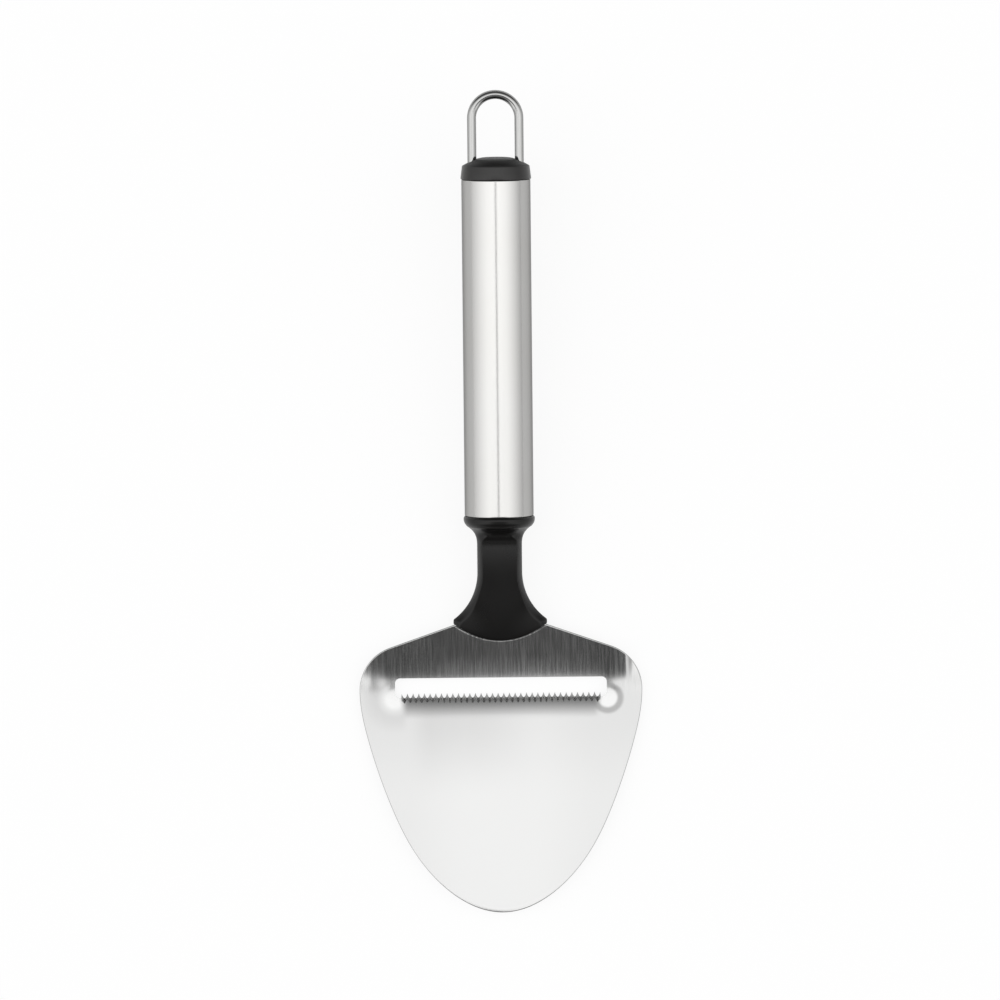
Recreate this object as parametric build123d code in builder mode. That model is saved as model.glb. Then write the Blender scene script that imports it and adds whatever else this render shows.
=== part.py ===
from build123d import *
import math
import os

os.makedirs("parts", exist_ok=True)

# A cheese slicer with a tubular handle, lying face up on a table.
# X runs across it, Y from the blade's tip to the hanging loop and Z up.
# Lengths along Y are counted from the tip, and the finished slicer is then
# moved so that the origin lies under the middle of its outline, on the table.

# Steel sheet of the blade
sheet = 1.2
blade_half_width = 41.1
gullet_line = 62.4
widest_past_gullets = 2.3
shoulder_slope = 19.1
side_shares = ((0.532, 0.194), (0.786, 0.482), (0.939, 0.769))

# How the sheet is formed: the lower plate curves up to its tip, the upper
# plate climbs to the handle, and the cutting lip is pressed down
tip_lift = 1.45
lower_slope = 1.5
crown = 0.3
bend_before_slot_top = 1.6
bend_softness = 2.4
lip_run = 6.0
lip_drop = 1.35
pocket_inset = 0.3
pocket_flat = 2.2
pocket_radius = 5.6
pocket_depth = 0.4

# Slot and serrated edge
slot_half_length = 30.8
slot_width = 5.8
slot_corner = 1.5
tooth_count = 34
tooth_pitch = 1.65
tooth_height = 1.2

# Tang, cranked to lie along the handle
tang_half_width = 5.0
tang_fillet = 4.0
tang_reach = 20.0
tang_corner = 2.0
tang_drop = 1.1
crank_softness = 6.0

# Neck moulding
foot_past_slot = 10.7
foot_bulge = 4.7
foot_half_width = 13.6
foot_corner = 1.2
foot_cover = 1.5
flare_radius = 17.0
flare_height = 1.8
flare_run = 15.4
waist_half_width = 6.5
waist_half_depth = 3.6
waist_run = 7.1
throat_run = 6.1
throat_spread = 0.9
throat_shares = ((0.0, 0.0), (0.4, 0.07), (0.68, 0.27), (0.86, 0.58), (1.0, 1.0))
throat_roundness = 0.8
foot_rounding = 1.4
waist_rounding = 2.4
top_ease_share = 1.5

# Collar, between the neck and the tube
collar_proud = 0.35
collar_band = 1.7
collar_taper = 2.3
collar_nose = 2.2
collar_rounding = 0.7
spigot_length = 23.0
spigot_chamfer = 0.8

# Tube of the handle
handle_tilt = 4.9
tube_radius = 10.0
tube_wall = 0.7
tube_length = 97.65
rim_chamfer = 0.2
fit_clearance = 0.05

# Cross pins through spigot and tang
pin_radius = 1.5
pin_first = 6.5
pin_spacing = 8.5
pin_short = 0.6
pin_chamfer = 0.3
pin_clearance = 0.02

# End cap
cap_proud = 0.25
cap_band = 3.8
cap_draft = 0.45
cap_shoulder = 0.8
dome_rise = 2.6
cap_floor = 10.0
skirt_length = 6.6
skirt_wall = 0.9

# Hanging loop of round wire
wire_radius = 1.3
leg_inset = 2.41
loop_height = 25.7
toe_bend = 2.5
toe_gap = 3.2
wire_clearance = 0.05

# Plug that keeps the loop's toes in the cap
keeper_thickness = 4.2
keeper_chamfer = 0.4

# Grid of the formed sheet, and how far cutting tools run past the work
grid_columns = 40
grid_rows = 100
surface_tolerance = 0.02
overrun = 2.0
cut_height = 4 * tube_radius
cut_base = Plane.XY.offset(-tube_radius)

# Places along Y that follow from the sizes above
slot_top = gullet_line + slot_width
bend_line = slot_top - bend_before_slot_top
blade_widest = gullet_line + widest_past_gullets
lip_start = gullet_line - lip_run
tooth_line = gullet_line + tooth_height
foot_low = slot_top + foot_past_slot
foot_side = foot_low + foot_bulge
waist_low = foot_side + flare_run
waist_high = waist_low + waist_run
throat_end = waist_high + throat_run
collar_reach = collar_band + collar_taper
tilt = math.radians(handle_tilt)
rim_line = throat_end + (collar_reach - throat_spread) * math.cos(tilt)
tang_end = rim_line + tang_reach

# The handle's plane stands at the tube's lower rim with its normal along the tube,
# and the lengthwise plane holds the tube's axis, its own Y along the tube
collar_radius = tube_radius + collar_proud
cap_radius = tube_radius + cap_proud
spigot_radius = tube_radius - tube_wall - fit_clearance
leg_offset = spigot_radius - leg_inset
rim_height = collar_radius * math.cos(tilt) + collar_band * math.sin(tilt)
handle = Plane(
    origin=(0, rim_line, rim_height),
    x_dir=(1, 0, 0),
    z_dir=(0, math.cos(tilt), math.sin(tilt)),
)
lengthwise = Plane(
    origin=handle.origin,
    x_dir=(1, 0, 0),
    z_dir=(0, -math.sin(tilt), math.cos(tilt)),
)
tube_axis = Axis(handle.origin, handle.z_dir)


def axis_height(y):
    """Height of the handle's axis over the table, at a distance y from the tip."""
    return rim_height + (y - rim_line) * math.tan(tilt)


def blend(share):
    """Smooth rise from 0 to 1, level at both ends."""
    t = min(1.0, max(0.0, share))
    return t * t * t * (10 - 15 * t + 6 * t * t)


def bend(y, line, softness):
    """Rounded kink: level before the line, a slope of one after it."""
    past = y - line
    return (math.hypot(past, softness) + past) / 2


def form(x, y, climb):
    """Middle of the sheet before it is set on the table.

    Two plates meet at the bend, the tang is cranked at the rim, the lip falls
    as a parabola, and a shallow round pocket lies at each end of the slot.
    """
    low = -math.tan(math.radians(lower_slope))
    plates = low * (y - bend_line) + (climb - low) * bend(y, bend_line, bend_softness)
    plates += (math.tan(tilt) - climb) * bend(y, rim_line, crank_softness)
    if y < bend_line:
        plates += tip_lift * (1 - y / bend_line) ** 2
    plates -= crown * (x / blade_half_width) ** 2
    pocket_x = slot_half_length - pocket_inset
    lip = lip_drop * (max(0.0, y - lip_start) / (tooth_line - lip_start)) ** 2
    lip *= 1 - blend((abs(x) - pocket_x + pocket_radius) / pocket_radius)
    lip *= 1 - blend((y - tooth_line) / (slot_top - tooth_line))
    reach = math.hypot(abs(x) - pocket_x, y - gullet_line)
    pocket = pocket_depth * (1 - blend((reach - pocket_flat) / (pocket_radius - pocket_flat)))
    return plates - (lip ** 4 + pocket ** 4) ** 0.25


# The upper plate's climb brings the tang to its place just under the handle's axis,
# and the lowest point along the lip touches the table
tang_level = axis_height(rim_line) - tang_drop - sheet / 2
climb_slope = (tang_level - lip_drop) / (rim_line - bend_line)
side_span = blade_half_width + overrun
columns = [side_span * (2 * i / grid_columns - 1) for i in range(grid_columns + 1)]
table_level = min(form(x, y, climb_slope) for x in columns for y in (gullet_line, tooth_line))


def sheet_height(x, y):
    """Height of the sheet's middle over the table."""
    return form(x, y, climb_slope) - table_level + sheet / 2


# Places of the cross pins, each plane's normal square to the tang
pin_origins = [lengthwise.from_local_coords(Vector(0, pin_first + i * pin_spacing)) for i in range(2)]
pin_places = [Plane(origin, x_dir=(1, 0, 0), z_dir=lengthwise.z_dir) for origin in pin_origins]

# Blade: one spline face of the formed sheet, given its thickness, then cut to outline
low_end = -overrun
high_end = tang_end + overrun
rows = [low_end + (high_end - low_end) * j / grid_rows for j in range(grid_rows + 1)]
top_points = [[Vector(x, y, sheet_height(x, y) + sheet / 2) for y in rows] for x in columns]
formed_face = Face.make_surface_from_array_of_points(top_points, tol=surface_tolerance)

shoulder_run = math.tan(math.radians(shoulder_slope))
vertex_y = foot_side + (foot_half_width - blade_half_width) * shoulder_run
side_points = [(x * blade_half_width, y * blade_widest) for x, y in side_shares]
shoulder_reach = vertex_y - blade_widest
shoulder_end = (
    blade_half_width - shoulder_reach * math.cos(math.radians(shoulder_slope)),
    vertex_y + shoulder_reach * math.sin(math.radians(shoulder_slope)),
)
tang_root = foot_side + (foot_half_width - tang_half_width) * shoulder_run
land_half_length = (tooth_count + 1) * tooth_pitch / 2
groove_top = sheet_height(0, gullet_line - tooth_height) + sheet / 2
groove_fall = groove_top - (sheet_height(0, gullet_line) - sheet / 2)
groove_angle = math.atan2(groove_fall, tooth_height)
groove_length = (tooth_height + slot_width) / math.cos(groove_angle)
tip_depth = sheet_height(0, tooth_line) - sheet / 2 - (groove_top - 2 * groove_fall)
groove_steepness = tip_depth * math.cos(groove_angle) / (tooth_pitch / 2)
groove_rise = 2 * sheet
groove_half_width = groove_rise / groove_steepness

with BuildPart() as blade:
    extrude(to_extrude=formed_face, amount=sheet, dir=(0, 0, -1))
    with BuildSketch(cut_base) as outline:
        with BuildLine():
            Spline((0, 0), *side_points, (blade_half_width, blade_widest), tangents=((1, 0), (0, 1)))
            TangentArc((blade_half_width, blade_widest), shoulder_end, tangent=(0, 1))
            Polyline(
                shoulder_end,
                (tang_half_width, tang_root),
                (tang_half_width, tang_end),
                (0, tang_end),
                (0, 0),
            )
        make_face()
        fillet(outline.vertices().sort_by_distance((tang_half_width, tang_root))[0], tang_fillet)
        fillet(outline.vertices().sort_by_distance((tang_half_width, tang_end))[0], tang_corner)
        mirror(about=Plane.YZ)
    extrude(amount=cut_height, mode=Mode.INTERSECT)
    with BuildSketch(cut_base):
        with Locations((0, gullet_line + slot_width / 2)):
            RectangleRounded(2 * slot_half_length, slot_width, slot_corner)
        with Locations((0, tooth_line - overrun / 2)):
            Rectangle(2 * land_half_length, overrun, mode=Mode.SUBTRACT)
    extrude(amount=cut_height, mode=Mode.SUBTRACT)
    groove_start = Plane(
        origin=(0, gullet_line - tooth_height, groove_top),
        x_dir=(1, 0, 0),
        z_dir=(0, -math.cos(groove_angle), math.sin(groove_angle)),
    )
    with BuildSketch(groove_start):
        with GridLocations(tooth_pitch, tooth_pitch, tooth_count + 1, 1):
            Polygon(
                (0, 0),
                (groove_half_width, groove_rise),
                (-groove_half_width, groove_rise),
                align=None,
            )
    extrude(amount=-groove_length, mode=Mode.SUBTRACT)
    for place in pin_places:
        with BuildSketch(place):
            Circle(pin_radius + pin_clearance)
        extrude(amount=spigot_radius, both=True, mode=Mode.SUBTRACT)

# Neck: one moulding of foot, waist, collar and spigot, moulded round the tang
foot_top = sheet_height(0, foot_low) + sheet / 2 + foot_cover
foot_base = sheet_height(0, foot_low) - sheet / 2 - foot_cover
waist_top = axis_height(waist_high) + waist_half_depth
waist_base = axis_height(waist_high) - waist_half_depth
collar_inside = collar_radius - throat_spread
flare_start = foot_side + flare_height
flare_side = math.sqrt(flare_radius ** 2 - (waist_low - flare_start) ** 2)
flare_slope = (waist_low - flare_start) / flare_side


def neck_half_width(y):
    """Half width of the neck: an arc down to the flare's corner, then straight on."""
    if y >= waist_low:
        return waist_half_width
    if y >= flare_start:
        return waist_half_width + flare_radius - math.sqrt(flare_radius ** 2 - (waist_low - y) ** 2)
    return neck_half_width(flare_start) + (flare_start - y) * flare_slope


def neck_station(y):
    """Half width, top, base and corner radius of the neck at a distance y from the tip."""
    share = (y - foot_low) / (waist_high - foot_low)
    eased = share * (top_ease_share + (1 - top_ease_share) * share)
    top = foot_top + (waist_top - foot_top) * eased
    base = foot_base + (waist_base - foot_base) * share
    rounding = foot_rounding + (waist_rounding - foot_rounding) * share
    return neck_half_width(y), top, base, rounding


def throat_station(run_share, spread_share):
    """The same beyond the waist, where the neck spreads into the collar's disc."""
    y = waist_high + throat_run * run_share
    middle = axis_height(y)
    half_width = waist_half_width + (collar_inside - waist_half_width) * spread_share
    half_depth = waist_half_depth + (collar_inside - waist_half_depth) * spread_share
    rounding = waist_rounding + (half_depth - waist_rounding) * spread_share * throat_roundness
    return half_width, middle + half_depth, middle - half_depth, rounding


foot_steps = 6
foot_lines = [foot_low - overrun / 2 + (waist_high - foot_low) * i / foot_steps for i in range(foot_steps)]
stations = [(y, *neck_station(y)) for y in foot_lines]
stations += [(waist_high + throat_run * a, *throat_station(a, b)) for a, b in throat_shares]

with BuildPart() as neck:
    for y, half_width, top, base, rounding in stations:
        middle_plane = Plane(origin=(0, y, (top + base) / 2), x_dir=(1, 0, 0), z_dir=(0, 1, 0))
        with BuildSketch(middle_plane):
            RectangleRounded(2 * half_width, top - base, rounding)
    loft()
    with BuildSketch(cut_base) as foot:
        with BuildLine():
            ThreePointArc((-foot_half_width, foot_side), (0, foot_low), (foot_half_width, foot_side))
            Polyline(
                (foot_half_width, foot_side),
                (foot_half_width, rim_line),
                (-foot_half_width, rim_line),
                (-foot_half_width, foot_side),
            )
        make_face()
        fillet(foot.vertices().sort_by(Axis.Y)[:2], foot_corner)
    extrude(amount=cut_height, mode=Mode.INTERSECT)
    with BuildSketch(lengthwise) as collar:
        with BuildLine():
            Polyline(
                (0, 0),
                (collar_radius, 0),
                (collar_radius, -collar_band),
                (collar_radius - collar_nose, -collar_reach),
                (0, -collar_reach),
                close=True,
            )
        make_face()
        fillet(collar.vertices().sort_by_distance((collar_radius, -collar_band))[0], collar_rounding)
    revolve(axis=tube_axis)
    with BuildSketch(handle):
        Circle(spigot_radius)
    extrude(amount=spigot_length)
    chamfer(neck.faces().sort_by(tube_axis)[-1].edges(), spigot_chamfer)
    add(blade.part, mode=Mode.SUBTRACT)
    for place in pin_places:
        with BuildSketch(place):
            Circle(pin_radius + pin_clearance)
        extrude(amount=spigot_radius + overrun, both=True, mode=Mode.SUBTRACT)

# Cross pins: steel dowels through the spigot and the tang
with BuildPart() as tang_pins:
    for place in pin_places:
        with BuildSketch(place):
            Circle(pin_radius)
        extrude(amount=spigot_radius - pin_short, both=True)
    chamfer(tang_pins.edges().filter_by(GeomType.CIRCLE), pin_chamfer)

# Tube of the handle, its rims broken on the outside
with BuildPart() as handle_tube:
    with BuildSketch(handle):
        Circle(tube_radius)
        Circle(tube_radius - tube_wall, mode=Mode.SUBTRACT)
    extrude(amount=tube_length)
    rims = handle_tube.edges().filter_by(GeomType.CIRCLE).sort_by(SortBy.RADIUS)[-2:]
    chamfer(rims, rim_chamfer)

# End cap: band and dome outside, floor and skirt inside the tube, two holes for the wire
cap_top = tube_length + cap_band
band_top_radius = cap_radius - cap_draft
floor_line = tube_length - cap_floor
toe_line = floor_line - toe_bend
toe_start = leg_offset - toe_bend
boss_drop = toe_bend - wire_radius - wire_clearance
with BuildPart() as end_cap:
    with BuildSketch(lengthwise) as cap_half:
        with BuildLine():
            Polyline(
                (0, cap_top),
                (0, floor_line),
                (spigot_radius, floor_line),
                (spigot_radius, tube_length),
                (cap_radius, tube_length),
                (band_top_radius, cap_top),
            )
            ThreePointArc((band_top_radius, cap_top), (0, cap_top + dome_rise), (-band_top_radius, cap_top))
            Line((-band_top_radius, cap_top), (0, cap_top))
        make_face()
        split(bisect_by=Plane.YZ)
        fillet(cap_half.vertices().sort_by_distance((band_top_radius, cap_top))[0], cap_shoulder)
    revolve(axis=tube_axis)
    with BuildSketch(handle.offset(floor_line)):
        Circle(spigot_radius)
        Circle(spigot_radius - skirt_wall, mode=Mode.SUBTRACT)
        Rectangle(2 * toe_start, 2 * wire_radius)
    extrude(amount=-boss_drop)
    with BuildSketch(handle.offset(floor_line - boss_drop)):
        Circle(spigot_radius)
        Circle(spigot_radius - skirt_wall, mode=Mode.SUBTRACT)
    extrude(amount=boss_drop - skirt_length)
    with BuildSketch(handle.offset(floor_line)):
        with GridLocations(2 * leg_offset, 2 * leg_offset, 2, 1):
            Circle(wire_radius + wire_clearance)
    extrude(amount=cap_floor + cap_band + dome_rise + overrun, mode=Mode.SUBTRACT)

# Hanging loop: one wire, its legs through the cap's floor and its toes bent inwards under it
arch_line = tube_length + loop_height - wire_radius - leg_offset
with BuildPart() as hanging_loop:
    with BuildLine(lengthwise) as wire:
        Line((toe_gap / 2, toe_line), (toe_start, toe_line))
        JernArc((toe_start, toe_line), (1, 0), toe_bend, 90)
        Line((leg_offset, floor_line), (leg_offset, arch_line))
        JernArc((leg_offset, arch_line), (0, 1), leg_offset, 180)
        Line((-leg_offset, arch_line), (-leg_offset, floor_line))
        JernArc((-leg_offset, floor_line), (0, -1), toe_bend, 90)
        Line((-toe_start, toe_line), (-toe_gap / 2, toe_line))
    path = wire.wire()
    with BuildSketch(Plane(origin=path @ 0, z_dir=path % 0)):
        Circle(wire_radius)
    sweep(path=path)

# Keeper: a plug pressed into the skirt, with a channel that the toes lie in
keeper_line = floor_line - boss_drop - 2 * wire_clearance
with BuildPart() as loop_keeper:
    with BuildSketch(handle.offset(keeper_line)):
        Circle(spigot_radius - skirt_wall - fit_clearance)
    extrude(amount=-keeper_thickness)
    chamfer(loop_keeper.faces().sort_by(tube_axis)[0].edges(), keeper_chamfer)
    with BuildSketch(handle.offset(keeper_line)):
        Rectangle(2 * spigot_radius, 2 * (wire_radius + wire_clearance))
    extrude(amount=toe_line - wire_radius - wire_clearance - keeper_line, mode=Mode.SUBTRACT)

# Set the finished slicer over its origin, under the middle of its outline, and write each piece
pieces = {
    "blade": blade,
    "neck": neck,
    "tang_pins": tang_pins,
    "handle_tube": handle_tube,
    "end_cap": end_cap,
    "hanging_loop": hanging_loop,
    "loop_keeper": loop_keeper,
}
whole = Compound([piece.part for piece in pieces.values()]).bounding_box()
to_origin = Location((0, -(whole.min.Y + whole.max.Y) / 2, -whole.min.Z))
for node, piece in pieces.items():
    placed = piece.part.moved(to_origin)
    placed.label = node
    export_step(placed, f"parts/{node}.step")
    print(node, round(placed.volume, 1), placed.is_valid, len(placed.solids()), len(placed.faces()))
print("moved by", to_origin.position)
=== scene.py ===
import math
import bmesh
import bpy
import numpy as np
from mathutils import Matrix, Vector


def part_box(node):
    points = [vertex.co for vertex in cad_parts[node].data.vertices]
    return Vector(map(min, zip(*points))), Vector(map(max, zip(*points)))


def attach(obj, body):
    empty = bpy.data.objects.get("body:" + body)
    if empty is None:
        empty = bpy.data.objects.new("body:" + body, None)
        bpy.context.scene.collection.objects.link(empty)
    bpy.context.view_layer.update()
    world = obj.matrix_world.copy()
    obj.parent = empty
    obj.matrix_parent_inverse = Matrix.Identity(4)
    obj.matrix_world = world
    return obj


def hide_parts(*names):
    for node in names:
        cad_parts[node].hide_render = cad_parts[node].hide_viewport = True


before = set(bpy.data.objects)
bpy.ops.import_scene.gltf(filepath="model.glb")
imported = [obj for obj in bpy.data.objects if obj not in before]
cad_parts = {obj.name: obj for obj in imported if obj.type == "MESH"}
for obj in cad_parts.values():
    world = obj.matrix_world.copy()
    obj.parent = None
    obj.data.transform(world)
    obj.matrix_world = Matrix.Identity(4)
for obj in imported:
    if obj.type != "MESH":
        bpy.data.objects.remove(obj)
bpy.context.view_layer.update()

# Blade: one stamping of brushed stainless sheet, 1.2 mm thick, with a serrated lip under
# its slot. The upper plate is folded up towards the handle and runs on as the tang,
# which is hidden in the neck.
SHEET = 0.0012
HALF_WIDTH = 0.0411
GULLET_LINE = 0.0624
SLOT_HALF = 0.0308
SLOT_WIDTH = 0.0058
SLOT_CORNER = 0.0015
SLOT_TOP = GULLET_LINE + SLOT_WIDTH
WIDEST = GULLET_LINE + 0.0023
TOOTH_PITCH = 0.00165
TOOTH_HEIGHT = 0.00135
TOOTH_LINE = GULLET_LINE + TOOTH_HEIGHT
LAST_GROOVE = 17
LAND_HALF = (LAST_GROOVE + 0.5) * TOOTH_PITCH
BEND_LINE = SLOT_TOP - 0.0016
FOOT_LOW = SLOT_TOP + 0.0107
FOOT_BULGE = 0.0047
FOOT_SIDE = FOOT_LOW + FOOT_BULGE
FOOT_HALF = 0.0136
TANG_HALF = 0.005
TANG_CORNER = 0.002
ROOT_RADIUS = 0.004
SHOULDER = math.radians(19.1)
TILT = math.radians(4.9)
TUBE_RADIUS = 0.01
RIM_LINE = 0.115289
RIM_HEIGHT = 0.010457
TANG_END = RIM_LINE + 0.02
LIP_START = GULLET_LINE - 0.0064
LIP_DROP = 0.00135
LIP_STEEPNESS = 1.12
LIP_POWER = 1.75
LIP_HALF = 0.0265
LIP_CLOSING = 0.0038
POCKET_X = SLOT_HALF - 0.0003
POCKET_DEPTH = 0.00004
POCKET_FLOOR = 0.0023
POCKET_SIDE = 0.0028
LOWER_SLOPE = -math.tan(math.radians(1.5))
TIP_CURL = 0.00145
CROWN = 0.0003
TANG_DROP = 0.0011
TANG_BEND_SOFTNESS = 0.006

# The fold isn't quite straight at the shoulders: it dips before the right one, then both
# ends swing up, the left one gets softer and the right corner falls away
FOLD_SOFTNESS = 0.0024
DIP, DIP_X, DIP_REACH = 0.0005, 0.0328, 0.0026
LEFT_SWING, LEFT_SWING_X, LEFT_SWING_RUN = 0.0012, 0.037, 0.005
RIGHT_SWING, RIGHT_SWING_X, RIGHT_SWING_RUN = 0.0045, 0.0357, 0.0034
LEFT_SOFTENING, LEFT_SOFT_X, LEFT_SOFT_RUN = 0.0014, 0.031, 0.007
CORNER_FALL, CORNER_X, CORNER_RUN = 0.085, 0.0369, 0.0017
CORNER_LINE, CORNER_SOFTNESS = 0.0655, 0.0012

tip_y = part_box("blade")[0].y
tube_low, tube_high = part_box("handle_tube")
TUBE_LENGTH = 0.09765
ALONG = np.array([0.0, math.cos(TILT), math.sin(TILT)])
ABOVE = np.array([0.0, -math.sin(TILT), math.cos(TILT)])
rim = np.array((tube_low + tube_high) / 2) - ALONG * TUBE_LENGTH / 2
table_gap = rim[2] - RIM_HEIGHT


def blend(share):
    """Smooth rise from 0 to 1, level at both ends: 10 t^3 - 15 t^4 + 6 t^5."""
    t = np.clip(share, 0.0, 1.0)
    return t * t * t * (10 - 15 * t + 6 * t * t)


def fold(y, line, softness):
    """Rounded kink, level before the line and rising one in one past it."""
    past = y - line
    return (np.hypot(past, softness) + past) / 2


def form(x, y):
    """Middle of the sheet before it is set on the table.

    Two plates meet in a soft fold that strays at the shoulders. The lower plate curls up
    to the tip, and the sheet is crowned across, both by a square of the distance. The lip
    falls by a power of the way to its teeth and closes at its ends and above the slot. A
    shallow round pocket at each end of the slot runs into it.
    """
    tang_level = RIM_HEIGHT - TANG_DROP - SHEET / 2
    climb = (tang_level - LIP_DROP) / (RIM_LINE - BEND_LINE)
    stray = DIP * np.exp(-((x - DIP_X) / DIP_REACH) ** 2)
    stray = stray - LEFT_SWING * blend((-x - LEFT_SWING_X) / LEFT_SWING_RUN)
    stray = stray - RIGHT_SWING * blend((x - RIGHT_SWING_X) / RIGHT_SWING_RUN)
    softness = FOLD_SOFTNESS + LEFT_SOFTENING * blend((-x - LEFT_SOFT_X) / LEFT_SOFT_RUN)
    corner_fall = CORNER_FALL * blend((x - CORNER_X) / CORNER_RUN)
    plates = LOWER_SLOPE * (y - BEND_LINE)
    plates = plates + (climb - LOWER_SLOPE) * fold(y + stray, BEND_LINE, softness)
    plates = plates - corner_fall * fold(y, CORNER_LINE, CORNER_SOFTNESS)
    plates = plates + (math.tan(TILT) - climb) * fold(y, RIM_LINE, TANG_BEND_SOFTNESS)
    plates = plates + TIP_CURL * np.clip(1 - y / BEND_LINE, 0, None) ** 2
    plates = plates - CROWN * (x / HALF_WIDTH) ** 2
    lip_share = np.clip(y - LIP_START, 0, None) / (TOOTH_LINE - LIP_START)
    lip = LIP_STEEPNESS * LIP_DROP * lip_share ** LIP_POWER
    lip = lip * (1 - blend((np.abs(x) - LIP_HALF) / LIP_CLOSING))
    lip = lip * (1 - blend((y - TOOTH_LINE) / (SLOT_TOP - TOOTH_LINE)))
    reach = np.hypot(np.abs(x) - POCKET_X, y - GULLET_LINE)
    pocket = POCKET_DEPTH * (1 - blend((reach - POCKET_FLOOR) / POCKET_SIDE))
    return plates - (lip ** 4 + pocket ** 4) ** 0.25


OVERRUN = 0.002
across = np.linspace(-HALF_WIDTH - OVERRUN, HALF_WIDTH + OVERRUN, 41)
table_level = min(form(across, GULLET_LINE).min(), form(across, TOOTH_LINE).min())


def sheet_height(x, y):
    """Height of the sheet's middle over the table."""
    return form(x, y) - table_level + SHEET / 2 + table_gap


def smooth_curve(points, start_tangent, end_tangent, count):
    """Cubic spline through the points, each piece as long in its parameter as its chord,
    with the tangents given at both ends and a steady curvature at the points between."""
    points = np.array(points, float)
    knots = np.concatenate([[0], np.cumsum(np.hypot(*np.diff(points, axis=0).T))])
    gaps = np.diff(knots)
    matrix = np.eye(len(points))
    wanted = np.zeros_like(points)
    wanted[0], wanted[-1] = start_tangent, end_tangent
    for i in range(1, len(points) - 1):
        before, after = gaps[i - 1], gaps[i]
        matrix[i, i - 1:i + 2] = after, 2 * (before + after), before
        rises = (points[i] - points[i - 1]) / before, (points[i + 1] - points[i]) / after
        wanted[i] = 3 * (after * rises[0] + before * rises[1])
    slopes = np.linalg.solve(matrix, wanted)
    t = np.linspace(0, knots[-1], count)
    k = np.clip(np.searchsorted(knots, t, side="right") - 1, 0, len(gaps) - 1)
    gap = gaps[k][:, None]
    u = (t - knots[k])[:, None] / gap
    return (points[k] * (1 + 2 * u) * (1 - u) ** 2 + slopes[k] * gap * u * (1 - u) ** 2
            + points[k + 1] * u * u * (3 - 2 * u) + slopes[k + 1] * gap * u * u * (u - 1))


def turn(centre, radius, start, end, count):
    """Points of an arc, from its start angle to its end angle in degrees."""
    a = np.radians(np.linspace(start, end, count))
    return np.stack([centre[0] + radius * np.cos(a), centre[1] + radius * np.sin(a)], 1)


def along_line(line, distances):
    """Points at the given distances along a polyline."""
    run = np.concatenate([[0], np.cumsum(np.hypot(*np.diff(line, axis=0).T))])
    return np.stack([np.interp(distances, run, line[:, 0]), np.interp(distances, run, line[:, 1])], 1)


# Outer outline, right half from the tip to the end of the tang
vertex_y = FOOT_SIDE - (HALF_WIDTH - FOOT_HALF) * math.tan(SHOULDER)
shoulder_radius = (vertex_y - WIDEST) / math.tan((math.pi / 2 - SHOULDER) / 2)
side_shares = [(0, 0), (0.532, 0.194), (0.786, 0.482), (0.939, 0.769), (1, 1)]
side = smooth_curve(np.array(side_shares) * (HALF_WIDTH, WIDEST), (1, 0), (0, 1), 400)
shoulder_lean = math.degrees(SHOULDER)
shoulder = turn((HALF_WIDTH - shoulder_radius, WIDEST), shoulder_radius, 0, 90 - shoulder_lean, 60)
tang_root = FOOT_SIDE + (FOOT_HALF - TANG_HALF) * math.tan(SHOULDER)
root_end = tang_root + ROOT_RADIUS * math.tan((math.pi / 2 - SHOULDER) / 2)
root = turn((TANG_HALF + ROOT_RADIUS, root_end), ROOT_RADIUS, 270 - shoulder_lean, 180, 20)
corner = turn((TANG_HALF - TANG_CORNER, TANG_END - TANG_CORNER), TANG_CORNER, 0, 90, 12)
outline = np.vstack([side, shoulder, root, corner, [(0, TANG_END)]])
outline_run = np.concatenate([[0], np.cumsum(np.hypot(*np.diff(outline, axis=0).T))])


def outline_place(near):
    """Distance along the outline of its point nearest to the one given."""
    return outline_run[np.argmin(np.hypot(*(outline - near).T))]


# Slot edge, right half from the middle gullet round to the middle of the slot's top,
# with the line round it at which the cross-section starts to fan out to the outline. A
# tooth's height goes by a power of the way from its gullet, so the gullets are rounded,
# and the last tooth is cut short.
FAN_REACH = 0.005
GULLET_POWER = 2.1
ARC_POINTS = 22
teeth_x = np.linspace(0, LAND_HALF, 211)
tooth_share = 2 * np.abs(teeth_x / TOOTH_PITCH - np.round(teeth_x / TOOTH_PITCH))
teeth = np.stack([teeth_x, GULLET_LINE + TOOTH_HEIGHT * tooth_share ** GULLET_POWER], 1)
corner_x = SLOT_HALF - SLOT_CORNER
low_corner, high_corner = (corner_x, GULLET_LINE + SLOT_CORNER), (corner_x, SLOT_TOP - SLOT_CORNER)
step = np.array([(0.00006, 0.0007), (0.00012, 0.00015), (0.00022, 0)]) + (LAND_HALF, GULLET_LINE)
end_y = np.linspace(low_corner[1], high_corner[1], 16)[1:-1]
shoulder_x = np.linspace(corner_x, TANG_HALF, 90)[1:]
tang_x = np.linspace(TANG_HALF, 0, 26)[1:]


def round_slot(away):
    """The slot's end and top at a distance outside them, from the lower corner's arc to
    the middle of the top."""
    top_x = np.concatenate([shoulder_x, tang_x])
    return np.vstack([
        turn(low_corner, SLOT_CORNER + away, -90, 0, ARC_POINTS),
        np.stack([np.full(len(end_y), SLOT_HALF + away), end_y], 1),
        turn(high_corner, SLOT_CORNER + away, 0, 90, ARC_POINTS),
        np.stack([top_x, np.full(len(top_x), SLOT_TOP + away)], 1)])


toothed = np.vstack([teeth, step])
slot_edge = np.vstack([toothed, round_slot(0)])
slot_ring = np.vstack([toothed * (1, 0) + (0, GULLET_LINE - FAN_REACH), round_slot(FAN_REACH)])

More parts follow.
